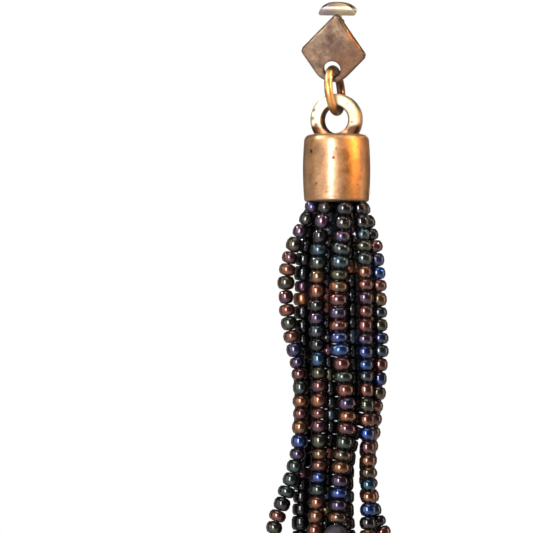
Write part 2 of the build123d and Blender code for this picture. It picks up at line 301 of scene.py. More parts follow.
@dataclass(frozen=True)
class CopperPlating:
    """Antique copper plated on cast metal: a warm satin metal, rubbed bright and clouded with a
    browner patina, with small casting pits and faint rubbing marks."""

    name: str
    rubbed: str
    body: str
    patina: str

    # How rough it is where it is rubbed, and where the patina is thickest
    roughness: tuple[float, float] = (0.26, 0.42)

    # The patina's clouds: their size, the noise values between which they fade, their detail and
    # how grainy that is
    cloud_mm: float = 3.0
    cloud_edge: tuple[float, float] = (0.35, 0.68)
    cloud_detail: float = 6.0
    grain: float = 0.62

    # The casting pits: how far apart they are, how wide as a share of that, and how deep
    pit_mm: float = 1.5
    pit_share: float = 0.16
    pit_depth_mm: float = 0.06
    pit_strength: float = 0.6

    # The rubbing marks, level streaks that are drawn as coarse as they need to show
    rub_mm: float = 0.25
    rub_detail: float = 2.0
    rub_depth_mm: float = 0.002
    rub_strength: float = 0.5
    rub_stretch: tuple[float, float, float] = (0.12, 0.12, 1.0)

    lacquer: float = 0.0
    lacquer_roughness: float = 0.18
    marks: tuple[Mark, ...] = ()
    grime: str = "#2a1c15"

    # The lighter bare metal where the plating is rubbed through, which on the loop's face is also a
    # painted highlight, the heights between which that begins, and the noise values and shares of
    # its patches
    wear_and_highlight_metal: str = ""
    wear_and_highlight_above_mm: tuple[float, float] = (0.0, 1.0)
    patch_edge: tuple[float, float] = (0.33, 0.45)
    patch_share: tuple[float, float] = (0.25, 0.95)

    def spot(
        self,
        tree: bpy.types.NodeTree,
        place: bpy.types.NodeSocket,
        mark: Mark,
        under: bpy.types.NodeSocket,
        coat: bpy.types.NodeSocket | None,
    ) -> tuple[bpy.types.NodeSocket, bpy.types.NodeSocket]:
        """Lays one mark over the colour, where the lacquer is worn off.

        Args:
            tree: The material's node tree.
            place: The object coordinates.
            mark: The mark.
            under: The colour below it.
            coat: The lacquer left by the marks before it, or none before the first.

        Returns:
            The colour with the mark, and the lacquer that is left.
        """
        side, depth, height = (part * MM for part in mark.place_mm)
        squashed = add_node(
            tree,
            "ShaderNodeVectorMath",
            {"operation": "MULTIPLY", SECOND: (1.0, 1.0, mark.squash)},
            {FIRST: place},
        )
        away = add_node(
            tree,
            "ShaderNodeVectorMath",
            {"operation": "DISTANCE", SECOND: (side, depth, height * mark.squash)},
            {FIRST: squashed.outputs["Vector"]},
        )
        near = add_node(
            tree,
            "ShaderNodeMapRange",
            {
                "interpolation_type": "SMOOTHSTEP",
                "From Min": mark.solid * mark.radius_mm * MM,
                "From Max": mark.radius_mm * MM,
                "To Min": mark.strength,
                "To Max": 0.0,
            },
            {"Value": away.outputs["Value"]},
        )
        over = add_node(
            tree,
            "ShaderNodeMix",
            {"data_type": "RGBA", COLOUR_B: linear(mark.tint or self.grime)},
            {SHARE: near.outputs["Result"], COLOUR_A: under},
        )
        links = {SHARE: near.outputs["Result"]}
        if coat:
            links[NUMBER_A] = coat
        worn = add_node(
            tree,
            "ShaderNodeMix",
            {"data_type": "FLOAT", NUMBER_A: self.lacquer, NUMBER_B: 0.0},
            links,
        )
        return over.outputs[MIXED_COLOUR], worn.outputs[MIXED_NUMBER]

    def rubbed_and_highlit_top(
        self,
        tree: bpy.types.NodeTree,
        place: bpy.types.NodeSocket,
        cloud: bpy.types.NodeSocket,
        under: bpy.types.NodeSocket,
    ) -> bpy.types.NodeSocket:
        """Rubs the plating through to the pale metal above a height, in patches; on the loop's face
        this is also a painted highlight.

        Args:
            tree: The material's node tree.
            place: The object coordinates.
            cloud: The patches' noise.
            under: The plating's colour.

        Returns:
            The colour with the pale metal.
        """
        parts = add_node(tree, "ShaderNodeSeparateXYZ", links={"Vector": place})
        low, high = self.wear_and_highlight_above_mm
        above = add_node(
            tree,
            "ShaderNodeMapRange",
            {"interpolation_type": "SMOOTHSTEP", "From Min": low * MM, "From Max": high * MM},
            {"Value": parts.outputs[Axis.HEIGHT.value]},
        )
        near, far = self.patch_edge
        least, most = self.patch_share
        patches = add_node(
            tree,
            "ShaderNodeMapRange",
            {"From Min": near, "From Max": far, "To Min": least, "To Max": most},
            {"Value": cloud},
        )
        share = add_node(
            tree,
            "ShaderNodeMath",
            {"operation": "MULTIPLY"},
            {FIRST: above.outputs["Result"], SECOND: patches.outputs["Result"]},
        )
        over = add_node(
            tree,
            "ShaderNodeMix",
            {"data_type": "RGBA", COLOUR_B: linear(self.wear_and_highlight_metal)},
            {SHARE: share.outputs["Value"], COLOUR_A: under},
        )
        return over.outputs[MIXED_COLOUR]

    def material(self) -> bpy.types.Material:
        """Builds the metal.

        Returns:
            The material.
        """
        material, tree, surface = new_material(self.name)
        place = add_node(tree, "ShaderNodeTexCoord").outputs["Object"]
        cloud = add_node(
            tree,
            "ShaderNodeTexNoise",
            {
                "Scale": 1000 / self.cloud_mm,
                "Detail": self.cloud_detail,
                "Roughness": self.grain,
            },
            {"Vector": place},
        )
        low, high = self.cloud_edge
        middle = (low + high) / 2
        stops = ((low, self.patina), (middle, self.body), (high, self.rubbed))
        ramp = add_node(
            tree, "ShaderNodeValToRGB", {"stops": stops}, {"Fac": cloud.outputs["Fac"]}
        )
        colour = ramp.outputs["Color"]
        # Lighter metal above a height: rubbed wear that is also a painted highlight
        if self.wear_and_highlight_metal:
            colour = self.rubbed_and_highlit_top(tree, place, cloud.outputs["Fac"], colour)
        coat = None
        for mark in self.marks:
            colour, coat = self.spot(tree, place, mark, colour, coat)
        pits = add_node(
            tree, "ShaderNodeTexVoronoi", {"Scale": 1000 / self.pit_mm}, {"Vector": place}
        )
        pit = add_node(
            tree,
            "ShaderNodeMapRange",
            {"From Max": self.pit_share},
            {"Value": pits.outputs["Distance"]},
        )
        pitted = add_node(
            tree,
            "ShaderNodeMix",
            {"data_type": "RGBA", COLOUR_A: linear(self.patina)},
            {SHARE: pit.outputs["Result"], COLOUR_B: colour},
        )
        tree.links.new(pitted.outputs[MIXED_COLOUR], surface.inputs["Base Color"])
        stretch = add_node(
            tree, "ShaderNodeMapping", {"Scale": self.rub_stretch}, {"Vector": place}
        )
        rub = add_node(
            tree,
            "ShaderNodeTexNoise",
            {"Scale": 1000 / self.rub_mm, "Detail": self.rub_detail},
            {"Vector": stretch.outputs["Vector"]},
        )
        smooth, dull = self.roughness
        rough = add_node(
            tree,
            "ShaderNodeMapRange",
            {"From Min": NOISE_LOW, "From Max": NOISE_HIGH, "To Min": dull, "To Max": smooth},
            {"Value": cloud.outputs["Fac"]},
        )
        tree.links.new(rough.outputs["Result"], surface.inputs["Roughness"])
        hollow = add_node(
            tree,
            "ShaderNodeBump",
            {"Strength": self.pit_strength, "Distance": self.pit_depth_mm * MM},
            {"Height": pit.outputs["Result"]},
        )
        marks = add_node(
            tree,
            "ShaderNodeBump",
            {"Strength": self.rub_strength, "Distance": self.rub_depth_mm * MM},
            {"Height": rub.outputs["Fac"], "Normal": hollow.outputs["Normal"]},
        )
        tree.links.new(marks.outputs["Normal"], surface.inputs["Normal"])
        surface.inputs["Metallic"].default_value = 1.0
        surface.inputs["Coat Weight"].default_value = self.lacquer
        if coat:
            tree.links.new(coat, surface.inputs["Coat Weight"])
        surface.inputs["Coat Roughness"].default_value = self.lacquer_roughness
        return material


@dataclass(frozen=True)
class DrawnWire:
    """Drawn and polished wire or strip: brighter and smoother than the cast pieces, with fine
    lines along it and a little tarnish."""

    name: str
    bright: str
    tarnish: str
    roughness: float = 0.2

    # How rough it is where it is tarnished and where it is bright, as shares of that
    rough_spread: tuple[float, float] = (1.5, 0.8)
    tarnish_mm: float = 1.6
    tarnish_detail: float = 4.0
    tarnish_edge: tuple[float, float] = (0.32, 0.58)

    # The real drawing lines are finer than this, and are drawn as coarse as they need to show
    line_mm: float = 0.12
    line_depth_mm: float = 0.001
    line_strength: float = 0.4

    lacquer: float = 0.0
    lacquer_roughness: float = 0.12

    # Painted shade that darkens one side of it, such as its far side, and where along an axis that
    # begins and is full
    shade: str = ""
    shade_axis: Axis = Axis.DEPTH
    shade_mm: tuple[float, float] = (0.0, 1.0)

    def material(self) -> bpy.types.Material:
        """Builds the metal.

        Returns:
            The material.
        """
        material, tree, surface = new_material(self.name)
        place = add_node(tree, "ShaderNodeTexCoord").outputs["Object"]
        cloud = add_node(
            tree,
            "ShaderNodeTexNoise",
            {"Scale": 1000 / self.tarnish_mm, "Detail": self.tarnish_detail},
            {"Vector": place},
        )
        low, high = self.tarnish_edge
        ramp = add_node(
            tree,
            "ShaderNodeValToRGB",
            {"stops": ((low, self.tarnish), (high, self.bright))},
            {"Fac": cloud.outputs["Fac"]},
        )
        colour = ramp.outputs["Color"]
        # Painted shade: the colour darkens towards one side along the axis
        if self.shade:
            parts = add_node(tree, "ShaderNodeSeparateXYZ", links={"Vector": place})
            near, far = self.shade_mm
            behind = add_node(
                tree,
                "ShaderNodeMapRange",
                {"interpolation_type": "SMOOTHSTEP", "From Min": near * MM, "From Max": far * MM},
                {"Value": parts.outputs[self.shade_axis.value]},
            )
            shaded = add_node(
                tree,
                "ShaderNodeMix",
                {"data_type": "RGBA", COLOUR_B: linear(self.shade)},
                {SHARE: behind.outputs["Result"], COLOUR_A: colour},
            )
            colour = shaded.outputs[MIXED_COLOUR]
        tree.links.new(colour, surface.inputs["Base Color"])
        dull, smooth = (self.roughness * share for share in self.rough_spread)
        rough = add_node(
            tree,
            "ShaderNodeMapRange",
            {"From Min": NOISE_LOW, "From Max": NOISE_HIGH, "To Min": dull, "To Max": smooth},
            {"Value": cloud.outputs["Fac"]},
        )
        tree.links.new(rough.outputs["Result"], surface.inputs["Roughness"])
        lines = add_node(
            tree, "ShaderNodeTexNoise", {"Scale": 1000 / self.line_mm}, {"Vector": place}
        )
        bump = add_node(
            tree,
            "ShaderNodeBump",
            {"Strength": self.line_strength, "Distance": self.line_depth_mm * MM},
            {"Height": lines.outputs["Fac"]},
        )
        tree.links.new(bump.outputs["Normal"], surface.inputs["Normal"])
        surface.inputs["Metallic"].default_value = 1.0
        surface.inputs["Coat Weight"].default_value = self.lacquer
        surface.inputs["Coat Roughness"].default_value = self.lacquer_roughness
        return material


@dataclass(frozen=True)
class IrisTint:
    """One colour of the iris coat, at its place in the film's order."""

    place: float
    colour: str


IRIS_ROW = (
    IrisTint(0.0, "#09080d"),
    IrisTint(0.06, "#131018"),
    IrisTint(0.12, "#413923"),
    IrisTint(0.2, "#6f4428"),
    IrisTint(0.28, "#5e3226"),
    IrisTint(0.36, "#4b2326"),
    IrisTint(0.44, "#312039"),
    IrisTint(0.52, "#21264f"),
    IrisTint(0.6, "#163872"),
    IrisTint(0.7, "#1b3b49"),
    IrisTint(0.8, "#262b35"),
    IrisTint(0.9, "#1d2c27"),
    IrisTint(1.0, "#32301f"),
)


@dataclass(frozen=True)
class IrisGlass:
    """Pressed seed bead glass with an iris coat: an opaque dark bead whose thin metal film shows
    copper, plum, blue or green by its thickness, under a hard glassy shine."""

    name: str = "iris_coated_seed_glass"
    roughness: float = 0.28
    metallic: float = 0.92
    coat: float = 1.0
    coat_roughness: float = 0.06

    # How far, and over what length, the film's thickness drifts within a bead
    drift_mm: float = 1.4
    drift_detail: float = 2.0
    drift: float = 0.07

    def material(self) -> bpy.types.Material:
        """Builds the glass, whose colour follows each bead's own film thickness.

        Returns:
            The material.
        """
        material, tree, surface = new_material(self.name)
        place = add_node(tree, "ShaderNodeTexCoord").outputs["Object"]
        film = add_node(tree, "ShaderNodeAttribute", {"attribute_name": "film"})
        cloud = add_node(
            tree,
            "ShaderNodeTexNoise",
            {"Scale": 1000 / self.drift_mm, "Detail": self.drift_detail},
            {"Vector": place},
        )
        change = add_node(
            tree,
            "ShaderNodeMapRange",
            {
                "From Min": NOISE_LOW,
                "From Max": NOISE_HIGH,
                "To Min": -self.drift,
                "To Max": self.drift,
            },
            {"Value": cloud.outputs["Fac"]},
        )
        thickness = add_node(
            tree,
            "ShaderNodeMath",
            {"operation": "ADD"},
            {FIRST: film.outputs["Fac"], SECOND: change.outputs["Result"]},
        )
        ramp = add_node(
            tree,
            "ShaderNodeValToRGB",
            {"stops": [(tint.place, tint.colour) for tint in IRIS_ROW]},
            {"Fac": thickness.outputs["Value"]},
        )
        tree.links.new(ramp.outputs["Color"], surface.inputs["Base Color"])
        surface.inputs["Metallic"].default_value = self.metallic
        surface.inputs["Roughness"].default_value = self.roughness
        surface.inputs["Coat Weight"].default_value = self.coat
        surface.inputs["Coat Roughness"].default_value = self.coat_roughness
        return material


class IrisLot(Enum):
    """The bead colours in the mix, as the film's place, its share of the outer strands' beads and
    its share of the inner strands', which are mostly jet as painted shade."""

    JET = (0.03, 2, 80)
    GOLD_OLIVE = (0.12, 8, 1)
    COPPER = (0.2, 14, 3)
    BRONZE = (0.28, 17, 4)
    RED_BROWN = (0.36, 15, 4)
    PLUM = (0.44, 10, 3)
    INDIGO = (0.52, 7, 2)
    ROYAL_BLUE = (0.6, 5, 1)
    TEAL = (0.7, 8, 1)
    SLATE = (0.8, 11, 2)
    DARK_GREEN = (0.9, 8, 1)
    OLIVE = (0.99, 5, 0)

    def __init__(self, film: float, outer_share: int, inner_share: int) -> None:
        """Names a lot's three numbers.

        Args:
            film: The film's place in the row of tints.
            outer_share: The lot's weight in the outer strands' mix.
            inner_share: Its weight in the inner strands' mix.
        """
        self.film = film
        self.outer_share = outer_share
        self.inner_share = inner_share


@dataclass(frozen=True)
class MattGlass:
    """Acid-etched dark glass: near black with a purple cast, and a soft sheen without a sharp
    highlight."""

    name: str = "matt_etched_dark_glass"
    deep: str = "#1d1a21"
    worn: str = "#38323c"
    roughness: float = 0.48
    cloud_mm: float = 1.1
    cloud_detail: float = 4.0
    cloud_edge: tuple[float, float] = (0.38, 0.66)

    # The real etching's grain is finer than this, and is drawn as coarse as it needs to show
    etch_mm: float = 0.15
    etch_depth_mm: float = 0.01
    etch_strength: float = 0.35

    def material(self) -> bpy.types.Material:
        """Builds the glass.

        Returns:
            The material.
        """
        material, tree, surface = new_material(self.name)
        place = add_node(tree, "ShaderNodeTexCoord").outputs["Object"]
        cloud = add_node(
            tree,
            "ShaderNodeTexNoise",
            {"Scale": 1000 / self.cloud_mm, "Detail": self.cloud_detail},
            {"Vector": place},
        )
        low, high = self.cloud_edge
        ramp = add_node(
            tree,
            "ShaderNodeValToRGB",
            {"stops": ((low, self.deep), (high, self.worn))},
            {"Fac": cloud.outputs["Fac"]},
        )
        tree.links.new(ramp.outputs["Color"], surface.inputs["Base Color"])
        etch = add_node(
            tree, "ShaderNodeTexNoise", {"Scale": 1000 / self.etch_mm}, {"Vector": place}
        )
        bump = add_node(
            tree,
            "ShaderNodeBump",
            {"Strength": self.etch_strength, "Distance": self.etch_depth_mm * MM},
            {"Height": etch.outputs["Fac"]},
        )
        tree.links.new(bump.outputs["Normal"], surface.inputs["Normal"])
        surface.inputs["Roughness"].default_value = self.roughness
        return material


@dataclass(frozen=True)
class WaxedThread:
    """Black nylon beading thread: dark, with a dull waxy sheen and a fine twist."""

    name: str = "waxed_nylon_thread"
    dark: str = "#0d0c0e"
    worn: str = "#2a272a"
    roughness: float = 0.6
    twist_mm: float = 0.3
    twist_detail: float = 3.0
    twist_depth_mm: float = 0.08
    twist_strength: float = 0.8
    twist_edge: tuple[float, float] = (0.35, 0.7)

    def material(self) -> bpy.types.Material:
        """Builds the thread.

        Returns:
            The material.
        """
        material, tree, surface = new_material(self.name)
        place = add_node(tree, "ShaderNodeTexCoord").outputs["Object"]
        twist = add_node(
            tree,
            "ShaderNodeTexNoise",
            {"Scale": 1000 / self.twist_mm, "Detail": self.twist_detail},
            {"Vector": place},
        )
        low, high = self.twist_edge
        ramp = add_node(
            tree,
            "ShaderNodeValToRGB",
            {"stops": ((low, self.dark), (high, self.worn))},
            {"Fac": twist.outputs["Fac"]},
        )
        tree.links.new(ramp.outputs["Color"], surface.inputs["Base Color"])
        bump = add_node(
            tree,
            "ShaderNodeBump",
            {"Strength": self.twist_strength, "Distance": self.twist_depth_mm * MM},
            {"Height": twist.outputs["Fac"]},
        )
        tree.links.new(bump.outputs["Normal"], surface.inputs["Normal"])
        surface.inputs["Roughness"].default_value = self.roughness
        return material


# Metal pieces, whose solids keep their shapes


@dataclass
class MetalWork:
    """The stud, nut, jump ring and end cap, and the thread heads in the cap."""

    plate: CopperPlating = CopperPlating(
        "antique_copper_stud", rubbed="#96795e", body="#6c5543", patina="#46352b",
        cloud_mm=1.6, roughness=(0.4, 0.5), grain=0.74, lacquer=0.5,
        marks=(
            # Painted shade on the left corner
            Mark((-4.0, -0.9, -1.6), 2.2, 0.3, "#6a5440"),
            # Painted light: a paler patch on the upper left
            Mark((-2.5, -1.8, 0.9), 2.4, 0.25, "#ad9c8a"),
            # Painted reflection of the warm light on the upper right
            Mark((2.9, -1.6, 0.5), 1.5, 0.45, "#9c6236"),
            Mark((2.0, -0.8, -3.6), 4.2, 0.6, "#61412b"),
            Mark((-0.4, -1.5, -0.4), 2.2, 0.3, "#4b3634"),
            Mark((-0.2, -1.5, 0.1), 0.9, 0.4),
            Mark((0.3, -1.5, 0.6), 0.6, 0.3),
        ),
    )
    cap: CopperPlating = CopperPlating(
        "antique_copper_cap", rubbed="#a27c56", body="#835f3b", patina="#58391f",
        cloud_mm=3.4, cloud_edge=(0.33, 0.62), roughness=(0.47, 0.53), grain=0.84, lacquer=1.0,
        lacquer_roughness=0.3, rub_depth_mm=0.006,
        marks=(
            # Dents in the barrel
            Mark((-3.02, -1.95, -15.94), 0.42),
            Mark((0.31, -3.29, -16.94), 0.36),
            Mark((0.7, -3.3, -15.6), 0.3, 0.7),
            Mark((-2.2, -2.6, -20.6), 0.34, 0.7),
            # The loop's dark roots, painted shade in its hole, and its stained face
            Mark((-2.8, 0.95, -13.2), 1.3, 1.0, "#2e170b", 0.6),
            Mark((2.9, -0.1, -13.2), 1.3, 0.9, "#2e170b", 0.6),
            # Painted shade round the loop's hole and on its wall
            Mark((0.25, 1.51, -11.31), 2.55, 0.85, "#43271a", 0.8),
            Mark((3.4, 0.2, -12.6), 1.0, 0.7),
            Mark((-1.9, 0.8, -12.9), 0.6, 0.5, "#8a5a34"),
            Mark((-3.1, 1.01, -11.1), 0.5, 0.8),
            Mark((-2.65, 0.93, -12.0), 0.5, 0.8),
            Mark((-2.94, 0.98, -9.94), 0.45, 0.8),
            Mark((1.92, 0.08, -9.1), 0.4, 0.7),
            Mark((2.65, -0.05, -11.7), 0.35, 0.7),
            Mark((2.75, -0.08, -10.4), 1.9, 0.55, "#74664f"),
            # Scratches above the rim
            Mark((-0.57, -3.17, -21.82), 0.55, 0.8, squash=5.0),
            Mark((0.15, -3.14, -22.46), 0.9, 0.7, squash=7.0),
            Mark((-1.9, -2.75, -22.3), 0.7, 0.5, squash=6.0),
        ),
        # The loop's face above its roots: rubbed lighter metal, partly a painted highlight
        wear_and_highlight_metal="#b6a88d", wear_and_highlight_above_mm=(-12.8, -11.4),
    )
    ring: DrawnWire = DrawnWire(
        "polished_copper_wire", bright="#cb9f5e", tarnish="#8e6030", roughness=0.34,
        # Painted shade on the ring's far side, deeper than 0.9 mm
        lacquer=0.8, shade="#452918", shade_mm=(0.9, 2.0),
    )
    nut: DrawnWire = DrawnWire(
        "stamped_steel_nut", bright="#a8997f", tarnish="#97804f", roughness=0.46, tarnish_mm=2.6,
        # Painted shade on the nut's left side, so that its right looks lit
        lacquer=0.5, shade="#6c6261", shade_axis=Axis.SIDE, shade_mm=(1.6, -1.6),
    )
    heads: WaxedThread = field(default_factory=WaxedThread)

    def build(self) -> list[bpy.types.Object]:
        """Dresses each metal solid.

        Returns:
            The dressed nodes.
        """
        finishes = {
            "ear_stud": self.plate,
            "ear_nut": self.nut,
            "jump_ring": self.ring,
            "end_cap": self.cap,
            "thread_plug": self.heads,
        }
        for node, finish in finishes.items():
            dress(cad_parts[node], finish.material())
        return [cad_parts[node] for node in finishes]


# Beads


@dataclass
class DrilledBead:
    """A pressed bead with a straight hole, its sides bowed and its ends rounded over, its hole
    along Z."""

    radius: float = 1.0 * MM
    length: float = 1.86 * MM
    columns: int = 10
    crease: float = math.radians(65)

    # How far a point may lie off its level of the sphere that the bead starts as
    level_width: float = 0.02 * MM

    # Rings from the hole's rim to the bead's waist, as shares of its radius and half length
    profile: tuple[tuple[float, float], ...] = ((0.42, 0.97), (0.81, 0.79), (1.0, 0.3))

    def model(self, name: str) -> bpy.types.Object:
        """Models the bead at the origin.

        Args:
            name: The bead's name.

        Returns:
            The bead.
        """
        deselect()
        rows = 2 * len(self.profile) + 1
        bpy.ops.mesh.primitive_uv_sphere_add(
            segments=self.columns, ring_count=rows, radius=self.radius
        )
        bead = bpy.context.object
        bead.name = name
        pick(bead, Part.FACES, lambda face: len(face.vertices) == 3)
        bpy.ops.mesh.dissolve_faces()
        for row, (width, height) in enumerate(self.profile, start=1):
            angle = math.pi * row / rows
            ring, level = self.radius * math.sin(angle), self.radius * math.cos(angle)
            wider = width * self.radius / ring
            for side in (-1, 1):
                near, shift = side * level, side * (height * self.length / 2 - level)
                pick(bead, Part.POINTS, lambda point: abs(point.co.z - near) < self.level_width)
                bpy.ops.transform.resize(value=(wider, wider, 1.0))
                bpy.ops.transform.translate(value=(0, 0, shift))
        pick(bead, Part.FACES, lambda face: len(face.vertices) == self.columns)
        bpy.ops.mesh.bridge_edge_loops()
        face_outwards()
        bpy.ops.object.shade_smooth_by_angle(angle=self.crease)
        return bead


@dataclass
class FacetedBead:
    """A round glass bead with soft facets and a straight hole, its hole along Z."""

    radius: float = 1.7 * MM
    hole: float = 0.45 * MM
    columns: int = 12
    rows: int = 8
    crease: float = math.radians(40)

    # The width of the rounding between facets, its steps, and the least angle that gets one
    softness: float = 0.16 * MM
    soft_steps: int = 2
    softened: float = math.radians(10)

    def model(self, name: str) -> bpy.types.Object:
        """Models the bead at the origin.

        Args:
            name: The bead's name.

        Returns:
            The bead.
        """
        deselect()
        bpy.ops.mesh.primitive_uv_sphere_add(
            segments=self.columns, ring_count=self.rows, radius=self.radius
        )
        bead = bpy.context.object
        bead.name = name
        pick(bead, Part.FACES, lambda face: len(face.vertices) == 3)
        bpy.ops.mesh.dissolve_faces()
        rim = self.radius * math.sin(math.pi / self.rows)
        bpy.ops.mesh.inset(thickness=rim - self.hole, use_even_offset=False)
        bpy.ops.mesh.bridge_edge_loops()
        face_outwards()
        soften = bead.modifiers.new("soften", "BEVEL")
        soften.width = self.softness
        soften.segments = self.soft_steps
        soften.limit_method = "ANGLE"
        soften.angle_limit = self.softened
        bpy.ops.object.modifier_apply(modifier=soften.name)
        bpy.ops.object.shade_smooth_by_angle(angle=self.crease)
        return bead


@dataclass(frozen=True)
class BeadSizes:
    """The sizes of one strand's seed beads and of its end bead."""

    seed_radius: float = 1.2 * MM
    end_radius: float = 1.7 * MM


@dataclass
class Fringe:
    """Twelve strands of seed beads below the cap, each on its thread, with an end bead and a
    stop bead."""

    # How far the routes' side and depth are turned about the drop's axis
    turn: float = math.radians(7.0)

    # From the thread heads to the first bead, and from an end bead to its neighbours
    gap: float = 0.05 * MM

    # The usual seed bead's length along its strand
    pitch: float = 1.88 * MM

    # Steps between two points of a route, to set beads along it and to draw the thread
    walk_steps: int = 32
    thread_steps: int = 8

    thread_radius: float = 0.25 * MM
    thread_roundness: int = 2
    stop_radius: float = 0.85 * MM
    stop_length: float = 1.4 * MM
    sizes: dict[str, BeadSizes] = field(
        default_factory=lambda: {
            "strand_02": BeadSizes(1.33 * MM),
            "strand_04": BeadSizes(1.4 * MM, 1.95 * MM),
            "strand_08": BeadSizes(1.3 * MM),
            "strand_09": BeadSizes(1.3 * MM),
            "strand_12": BeadSizes(1.3 * MM),
        }
    )

    # The strands behind the front row, which get painted shade from a duller copy of the glass and
    # a mostly jet mix, and whose beads meet with fuller ends
    inner: tuple[str, ...] = ("strand_02", "strand_05", "strand_08", "strand_09")
    inner_glass: IrisGlass = IrisGlass("iris_seed_glass_painted_shade", roughness=0.36, coat=0.6)
    inner_profile: tuple[tuple[float, float], ...] = ((0.42, 1.0), (0.86, 0.9), (1.0, 0.5))

    # The strands that start with a short bead, so that their joints don't line up with those in
    # front, and that bead's share of the usual length
    short_start: tuple[str, ...] = (
        "strand_02", "strand_05", "strand_08", "strand_09", "strand_10", "strand_11"
    )
    first_share: float = 0.5

    # Painted shade below the cap: how many beads at a strand's top take dark lots, those lots, and
    # those beads' width's share
    shaded_beads: int = 3
    shaded_lots: tuple[IrisLot, ...] = (
        IrisLot.JET, IrisLot.SLATE, IrisLot.JET, IrisLot.PLUM, IrisLot.JET
    )
    crowded: float = 0.88

    # How much one bead differs from the next: the range of its length's share, the middle,
    # spread and limits of its width's share, its lean, its film's drift, and an end bead's spin
    # in radians
    seed: int = 14
    length_share: tuple[float, float] = (0.84, 1.16)
    width_share: tuple[float, float] = (0.99, 0.04)
    width_limits: tuple[float, float] = (0.9, 1.05)
    lean: float = 0.04
    film_drift: float = 0.03
    stop_drift: float = 0.05
    end_spin: float = 1.0

    # The fringe's length below its head in millimetres, and where each strand passes through its
    # pairs, as shares of it. The last pair of a strand belongs to its own end.
    length: float = 50.7
    levels: tuple[float, ...] = (
        0.0, 0.067, 0.164, 0.27, 0.383, 0.495, 0.607, 0.72, 0.819, 0.909
    )

    # Where each strand passes, as side and depth from the drop's axis, in millimetres
    routes: dict[str, tuple[tuple[float, float], ...]] = field(
        default_factory=lambda: {
            "strand_01": (
                (-3.1, -1.55), (-4.9, -1.6), (-7.0, -1.4), (-7.4, -1.2), (-6.4, -1.0), (-5.1, -1.2),
                (-5.1, -1.3), (-5.5, -1.3), (-7.2, -1.2), (-9.0, -1.0), (-9.4, -0.8),
            ),
            "strand_02": (
                (-3.35, 0.7), (-4.0, 0.8), (-4.7, 0.8), (-4.9, 0.9), (-4.7, 1.2), (-4.8, 1.4),
                (-4.7, 1.4), (-4.8, 1.4), (-5.0, 1.2), (-5.1, 1.2), (-5.2, 1.5),
            ),
            "strand_03": (
                (-1.45, -3.3), (-2.4, -3.1), (-2.6, -2.9), (-2.9, -2.6), (-2.8, -2.5), (-2.5, -2.7),
                (-2.6, -2.6), (-2.4, -2.5), (-2.7, -2.7), (-3.1, -2.9), (-3.3, -3.0),
            ),
            "strand_04": (
                (1.05, -3.45), (0.9, -3.6), (0.4, -3.5), (0.1, -3.4), (0.2, -3.5), (0.9, -3.5),
                (1.7, -3.4), (0.6, -3.5), (0.3, -3.6), (0.0, -3.8),
            ),
            "strand_05": (
                (1.28, -0.23), (1.5, -0.8), (1.9, -0.5), (2.2, -0.3), (2.2, -0.5), (2.4, -0.2),
                (2.2, -0.2), (1.2, -0.5), (1.2, -0.6), (1.4, -0.8), (1.9, -0.9),
            ),
            "strand_06": (
                (3.05, -1.75), (3.7, -2.3), (3.8, -2.5), (4.1, -2.4), (3.9, -2.5), (4.1, -2.3),
                (4.2, -2.3), (4.4, -2.5), (4.5, -2.7), (4.4, -3.2), (4.3, -3.4),
            ),
            "strand_07": (
                (3.33, 0.68), (4.8, 0.0), (5.8, 0.1), (6.0, 0.1), (6.2, 0.0), (6.2, 0.1),
                (5.3, 0.2), (4.5, 0.1), (4.6, 0.0), (5.9, 0.0), (7.6, 0.1),
            ),
            "strand_08": (
                (-0.83, -1.0), (-1.1, -0.9), (-1.3, -0.8), (-1.5, -0.5), (-1.4, -0.5), (-1.0, -0.6),
                (-0.7, -0.6), (-1.3, -0.3), (-1.4, -0.5), (-1.6, -0.4), (-1.7, 0.0),
            ),
            "strand_09": (
                (-0.45, 1.22), (0.8, 1.6), (2.3, 1.9), (3.0, 2.1), (3.1, 2.0), (3.2, 2.2),
                (2.8, 2.1), (1.3, 2.0), (1.1, 1.9), (1.2, 2.1), (1.4, 2.3),
            ),
            "strand_10": (
                (2.18, 2.6), (3.4, 2.6), (4.7, 2.6), (5.3, 2.7), (5.4, 2.6), (5.5, 2.8),
                (5.0, 2.7), (4.3, 2.7), (4.4, 2.6), (5.2, 2.9), (5.9, 3.4),
            ),
            "strand_11": (
                (-2.2, 2.7), (-2.9, 3.2), (-3.6, 3.2), (-3.9, 3.3), (-3.7, 3.5), (-3.6, 3.7),
                (-3.5, 3.6), (-3.6, 3.6), (-3.9, 3.7), (-4.1, 4.2), (-4.0, 4.7),
            ),
            "strand_12": (
                (0.08, 3.4), (0.3, 3.9), (0.7, 4.1), (1.1, 4.0), (1.2, 3.9), (1.4, 4.1),
                (1.3, 4.1), (0.9, 4.4), (0.8, 4.5), (1.0, 5.0), (1.3, 5.6),
            ),
        }
    )

    # How much shorter than the longest strand each one is, in millimetres
    shorter_by: dict[str, float] = field(
        default_factory=lambda: {
            "strand_01": 1.8, "strand_02": 0.5, "strand_03": 1.2, "strand_04": 4.8,
            "strand_05": 0.2, "strand_06": 2.2, "strand_07": 1.4, "strand_08": 0.0,
            "strand_09": 2.2, "strand_10": 0.4, "strand_11": 1.9, "strand_12": 0.0,
        }
    )

    def head(self) -> Vector:
        """Where the strands start, on the cap's axis just below the thread heads."""
        low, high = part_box("thread_plug")
        return Vector(((low[0] + high[0]) / 2, (low[1] + high[1]) / 2, low[2] - self.gap))

